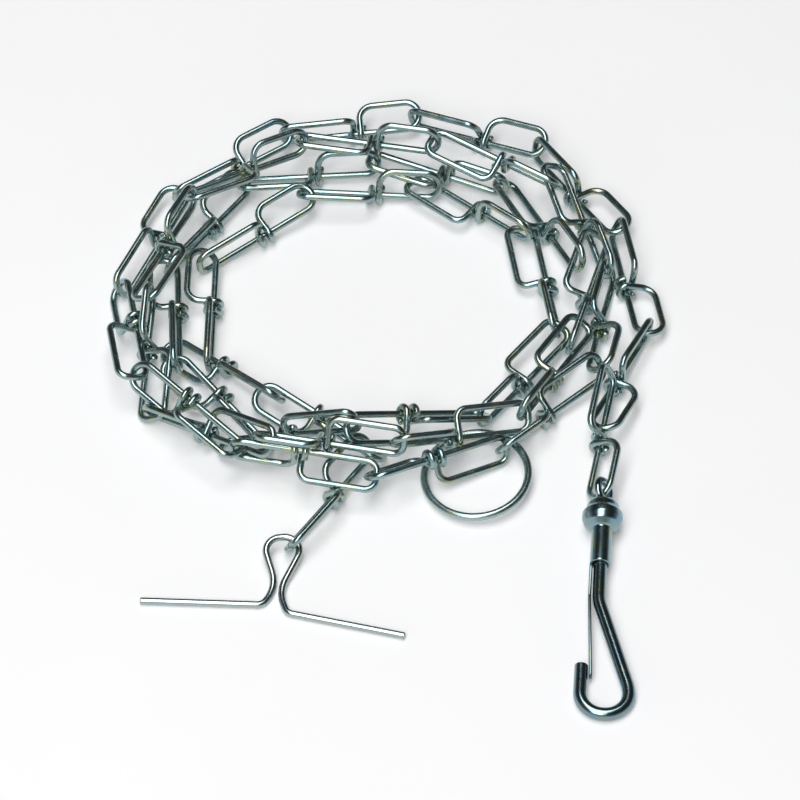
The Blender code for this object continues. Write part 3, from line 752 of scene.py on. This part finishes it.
# %% A number in a network
class Signal:
    """A number that runs through a network and can be used in a formula."""

    def __init__(self, network, socket):
        self.network, self.socket = network, socket

    def combined(self, operation, first, second):
        return self.network.node("ShaderNodeMath", {"operation": operation}, {0: first, 1: second})

    def __add__(self, other):
        return self.combined("ADD", self, other)

    def __radd__(self, other):
        return self.combined("ADD", other, self)

    def __sub__(self, other):
        return self.combined("SUBTRACT", self, other)

    def __rsub__(self, other):
        return self.combined("SUBTRACT", other, self)

    def __mul__(self, other):
        return self.combined("MULTIPLY", self, other)

    def __rmul__(self, other):
        return self.combined("MULTIPLY", other, self)


print("formula signs: + - *")


# %% A network of nodes
class Network:
    """The nodes of a finish or of the room, ending in its shader."""

    def __init__(self, owner, shader):
        owner.use_nodes = True
        self.owner, self.tree = owner, owner.node_tree
        self.shader = self.tree.nodes[shader]

    def put(self, socket, value):
        """Gives a socket a value, or links it to a signal."""
        if isinstance(value, Signal):
            self.tree.links.new(value.socket, socket)
        else:
            socket.default_value = value

    def node(self, kind, settings, sockets, output=0):
        """Adds a node: its settings first, then its sockets, and gives back one output."""
        made = self.tree.nodes.new(kind)
        for key, value in settings.items():
            if key == "stops":
                while len(made.color_ramp.elements) < len(value):
                    made.color_ramp.elements.new(1.0)
                for stop, (place, colour) in zip(made.color_ramp.elements, value):
                    stop.position, stop.color = place, colour
            else:
                setattr(made, key, value)
        for key, value in sockets.items():
            self.put(made.inputs[key], value)
        return Signal(self, made.outputs[output])

    def set(self, **values):
        """Sets the shader's own sockets, with _ for a space in their names."""
        for key, value in values.items():
            self.put(self.shader.inputs[key.replace("_", " ")], value)


print("network helper ready")


# %% A finish and its colours
def new_finish(name):
    """The network of a new material."""
    return Network(bpy.data.materials.new(name), "Principled BSDF")


def mixed(network, share, one, two):
    """Two colours mixed. A Mix node's colours are its sockets 6 and 7, and its output 2."""
    return network.node("ShaderNodeMix", {"data_type": "RGBA"}, {0: share, 6: one, 7: two}, 2)


print("finish helpers ready")


# %% [markdown]
# ## Bright zinc plate
#
# All of this chain is plated with bright zinc. Under the lamp it is not one grey: the thin
# passivation layer gives soft clouds of blue, green and straw, some places are duller, and the
# die that drew the wire left fine lines along it. So two clouds mix three tints, a third changes
# the roughness, and a noise that is stretched along the wire gives the lines and a faint bump.
# The clouds read the piece's own number as a fourth coordinate, so that every link differs. A
# picture of real plating would do as well, but it would need to be laid round every wire.

# %% Clouds over a piece
BETWEEN_PIECES = 37.0
CLOUD_ROUGHNESS = 0.55


def cloud(finish, place, batch, size, detail):
    """A soft noise with patches of about this size in millimetres."""
    sockets = {"Vector": place, "W": batch * BETWEEN_PIECES, "Scale": 1 / size,
               "Detail": detail, "Roughness": CLOUD_ROUGHNESS}
    return finish.node("ShaderNodeTexNoise", {"noise_dimensions": "4D"}, sockets)


def patches(finish, place, batch, size, detail, low, high):
    """A cloud whose levels from low to high are spread over 0 to 1, with bare places between."""
    sockets = {"Value": cloud(finish, place, batch, size, detail),
               "From Min": low, "From Max": high, "To Min": 0.0, "To Max": 1.0}
    return finish.node("ShaderNodeMapRange", {"clamp": True}, sockets)


def tinted(colour, tone, tint, cast):
    """A tint taken at its strength, brought to the tone of the metal and shifted by its cast."""
    shifted = [tone * shift * (channel * tint + 1.0 - tint) for channel, shift in zip(colour, cast)]
    return (*shifted, 1.0)


NO_CAST = (1.0, 1.0, 1.0)
half_tint = tinted((0.6, 0.8, 1.0), tone=0.5, tint=0.5, cast=NO_CAST)
print("half a blue tint on a grey of 0.5:", [round(channel, 2) for channel in half_tint])


# %% The plating
BLUE, STRAW, PLAIN = (0.68, 0.98, 1.08), (0.98, 1.06, 0.78), (0.79, 1.00, 0.97)
COOL_PATCHES = {"size": 9.0, "detail": 2.0, "low": 0.45, "high": 0.68}
WARM_PATCHES = {"size": 5.0, "detail": 3.0, "low": 0.5, "high": 0.7}
DULL_PATCHES = {"size": 3.0, "detail": 4.0, "low": 0.42, "high": 0.75}
WARM_SHIFT, DULL_SHIFT = 0.5, 0.2
LEAST_ROUGH, DULL_ROUGH, LINE_ROUGH = 0.85, 0.4, 0.06
LINE_WIDTH, LINE_STRETCH = 0.35, (1.0, 1.0, 0.035)
RIPPLE_SIZE, RIPPLE_HEIGHT = 1.6, 0.6
BUMP_STRENGTH, BUMP_DEPTH = 0.08, 0.1 * MM


def zinc(name, tone, gloss, tint, lines, cast=NO_CAST):
    """Zinc plate: tone is its brightness, gloss its mean roughness, tint the strength of the
    clouds of colour, lines that of the drawing lines, and cast shifts its colour."""
    finish = new_finish(name)
    batch = finish.node("ShaderNodeAttribute", {"attribute_name": "batch"}, {}, "Fac")
    on_wire = finish.node("ShaderNodeAttribute", {"attribute_name": "on_wire"}, {}, "Vector")
    metres = finish.node("ShaderNodeTexCoord", {}, {}, "Object")
    to_mm = {0: metres, "Scale": 1 / MM}
    place = finish.node("ShaderNodeVectorMath", {"operation": "SCALE"}, to_mm)

    blue, straw, plain = (tinted(colour, tone, tint, cast) for colour in (BLUE, STRAW, PLAIN))
    cool = patches(finish, place, batch, **COOL_PATCHES)
    warm = patches(finish, place, batch + WARM_SHIFT, **WARM_PATCHES)
    colour = mixed(finish, warm, mixed(finish, cool, plain, blue), straw)

    dull = patches(finish, place, batch + DULL_SHIFT, **DULL_PATCHES)
    stretch = {0: on_wire, 1: LINE_STRETCH}
    drawn = finish.node("ShaderNodeVectorMath", {"operation": "MULTIPLY"}, stretch)
    streaks = cloud(finish, drawn, batch, LINE_WIDTH, detail=2.0)
    rough = gloss * (LEAST_ROUGH + DULL_ROUGH * dull) + LINE_ROUGH * lines * (streaks - 0.5)

    ripple = cloud(finish, place, batch, RIPPLE_SIZE, detail=2.0)
    height = streaks * lines + ripple * RIPPLE_HEIGHT
    sockets = {"Strength": BUMP_STRENGTH, "Distance": BUMP_DEPTH, "Height": height}
    bump = finish.node("ShaderNodeBump", {}, sockets)
    finish.set(Base_Color=colour, Roughness=rough, Metallic=1.0, Normal=bump)
    return finish.owner


print("plating recipe ready, its clouds are", COOL_PATCHES["size"], "and",
      WARM_PATCHES["size"], "mm across")


# %% [markdown]
# ## Which finish goes where
#
# The links, the toggle and the ring are plated in bulk and come out a little duller than the
# hook, which is polished first and shows the room more clearly, with a bluish passivation. The
# spring strip is darker, because spring steel takes less plate. One material could serve all of
# them, but then the hook would look like the links. The slot names are the record's.

# %% The finishes
BLUISH = (0.92, 0.98, 1.09)
FINISHES = {
    "zinc_link": zinc("plated_link", tone=0.42, gloss=0.25, tint=1.1, lines=0.35),
    "zinc_ring": zinc("plated_ring", tone=0.48, gloss=0.28, tint=1.0, lines=0.35),
    "zinc_toggle": zinc("plated_toggle", tone=0.46, gloss=0.24, tint=0.6, lines=0.35),
    "zinc_eye": zinc("plated_eye", tone=0.38, gloss=0.18, tint=1.0, lines=0.3, cast=BLUISH),
    "zinc_barrel": zinc("plated_barrel", tone=0.36, gloss=0.22, tint=1.2, lines=0.3, cast=BLUISH),
    "zinc_hook": zinc("plated_hook", tone=0.31, gloss=0.19, tint=1.2, lines=0.3, cast=BLUISH),
    "spring_gate": zinc("plated_spring", tone=0.2, gloss=0.22, tint=1.0, lines=0.3, cast=BLUISH),
}
print("finishes", len(FINISHES))


# %% Giving the finishes
PIECES = [(piece, "zinc_link") for piece in links] + [
    (ring, "zinc_ring"), (toggle, "zinc_toggle"), (eye_piece, "zinc_eye"),
    (stem_piece, "zinc_eye"), (barrel, "zinc_barrel"), (hook, "zinc_hook"),
    (gate_root, "spring_gate"), (gate_leaf, "spring_gate"),
]
for piece, slot in PIECES:
    piece.data.materials.clear()
    piece.data.materials.append(FINISHES[slot])
print("finishes given to", len(PIECES), "pieces")


# %% [markdown]
# ## The floor
#
# The chain lies on plain pale paper. A big flat disc is enough, as long as it reaches past every
# view. Its colour is almost white, with a very faint mottle so that it isn't a dead flat tone. It
# also glows a little, which is painted fill light: it keeps the shadows very faint and makes the
# paper's reflection in the metal brighter. A second lamp would lift the shadows too, but it would
# show in the metal. Sizes are in metres from here on.

# %% Pale paper
PAPER_RADIUS = 6.0
PAPER_LEVEL = -0.00005
PAPER_CORNERS = 96
PAPER_TONES = ((0.90, 0.90, 0.91, 1.0), (0.93, 0.93, 0.935, 1.0))
# painted fill light: the paper glows a little so that its shadows stay faint
PAPER_PAINTED_FILL = 0.16
PAINTED_FILL_COLOUR = (1.0, 1.0, 1.0, 1.0)

turns = [2 * math.pi * k / PAPER_CORNERS for k in range(PAPER_CORNERS)]
rim = [(PAPER_RADIUS * math.cos(turn), PAPER_RADIUS * math.sin(turn), PAPER_LEVEL)
       for turn in turns]
sheet_mesh = bpy.data.meshes.new("paper")
sheet_mesh.from_pydata(rim, [], [list(range(PAPER_CORNERS))])
paper = new_finish("pale_paper")
where = paper.node("ShaderNodeTexCoord", {}, {}, "Object")
mottle = paper.node("ShaderNodeTexNoise", {}, {"Vector": where, "Scale": 14.0, "Detail": 3.0})
# the paper's glow is painted fill light, not a lamp; it lifts its shadows and its reflection in the
# metal
paper.set(Base_Color=mixed(paper, mottle, *PAPER_TONES), Roughness=0.85,
          Emission_Color=PAINTED_FILL_COLOUR, Emission_Strength=PAPER_PAINTED_FILL)
sheet_mesh.materials.append(paper.owner)
floor = bpy.data.objects.new("floor", sheet_mesh)
bpy.context.scene.collection.objects.link(floor)
print("floor laid,", 2 * PAPER_RADIUS, "m across")


# %% [markdown]
# ## Light
#
# Shiny metal shows its surroundings, so the room matters as much as the lamp. The room here is
# dark, with a pale edge at the floor that reaches a little higher in front and at the left. One
# long soft lamp hangs over the middle and runs from above the camera to just past overhead. So the
# wires that run across the picture show the lamp and are white, and the others show the dark room
# with the pale floor along their edges. Round wire sorts the light by its own direction like this,
# which is why the lamp's shape was read off the toggle's two straight arms and the ring. A picture
# of a studio could light the chain too, but one lamp and a few bands are easier to adjust.

# %% The room
ROOM_TILT = (0.08, 0.16, 1.0)
ROOM_BANDS = ((0.0, 0.9), (0.1, 0.5), (0.3, 0.17), (0.5, 0.05), (0.7, 0.03), (1.0, 0.05))

world = bpy.data.worlds.new("room")
bpy.context.scene.world = world
room = Network(world, "Background")
direction = room.node("ShaderNodeTexCoord", {}, {}, "Generated")
tilted = room.node("ShaderNodeVectorMath", {"operation": "DOT_PRODUCT"},
                   {0: direction, 1: ROOM_TILT}, "Value")
stops = [(place, (level, level * 1.01, level * 1.03, 1.0)) for place, level in ROOM_BANDS]
bands = room.node("ShaderNodeValToRGB", {"stops": stops}, {"Fac": tilted})
room.set(Color=bands, Strength=1.0)
print("room bands", len(ROOM_BANDS))


# %% The soft lamp
def aimed(name, data, place, way):
    """A lamp or a camera at a place, looking one way."""
    item = bpy.data.objects.new(name, data)
    bpy.context.scene.collection.objects.link(item)
    item.location = place
    item.rotation_mode = "QUATERNION"
    item.rotation_quaternion = way.to_track_quat("-Z", "Y")
    return item


LAMP_PLACE = Vector((-0.28, -0.5, 1.68))
LAMP_AIM = Vector((-0.17, 0.0, 0.0))
LAMP_WIDTH, LAMP_LENGTH = 0.9, 2.8
LAMP_POWER = 36.2
lamp = bpy.data.lights.new("key", "AREA")
lamp.shape, lamp.size, lamp.size_y = "RECTANGLE", LAMP_WIDTH, LAMP_LENGTH
lamp.energy = LAMP_POWER
aimed("key", lamp, LAMP_PLACE, LAMP_AIM - LAMP_PLACE)
print("lamp hung", round((LAMP_AIM - LAMP_PLACE).length, 2), "m away")


# %% [markdown]
# ## The camera
#
# The camera stands where the pixels were read from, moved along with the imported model, and its
# lens is the pinhole's focal length on a 36 mm sensor. It could be turned by hand until the views
# agree, but the numbers are known. The standard view keeps the paper white and the metal's
# contrast as the picture has them.

# %% The picture's view
SENSOR = 36.0
camera = bpy.data.cameras.new("camera")
camera.sensor_width = SENSOR
camera.lens = FOCAL / PICTURE_SIZE * SENSOR
camera.clip_start, camera.clip_end = 0.05, 30.0
viewpoint = Vector(moved - LOOK * DISTANCE) * MM
bpy.context.scene.camera = aimed("camera", camera, viewpoint, Vector(LOOK))
bpy.context.scene.view_settings.view_transform = "Standard"
print("lens", round(camera.lens, 1), "mm")
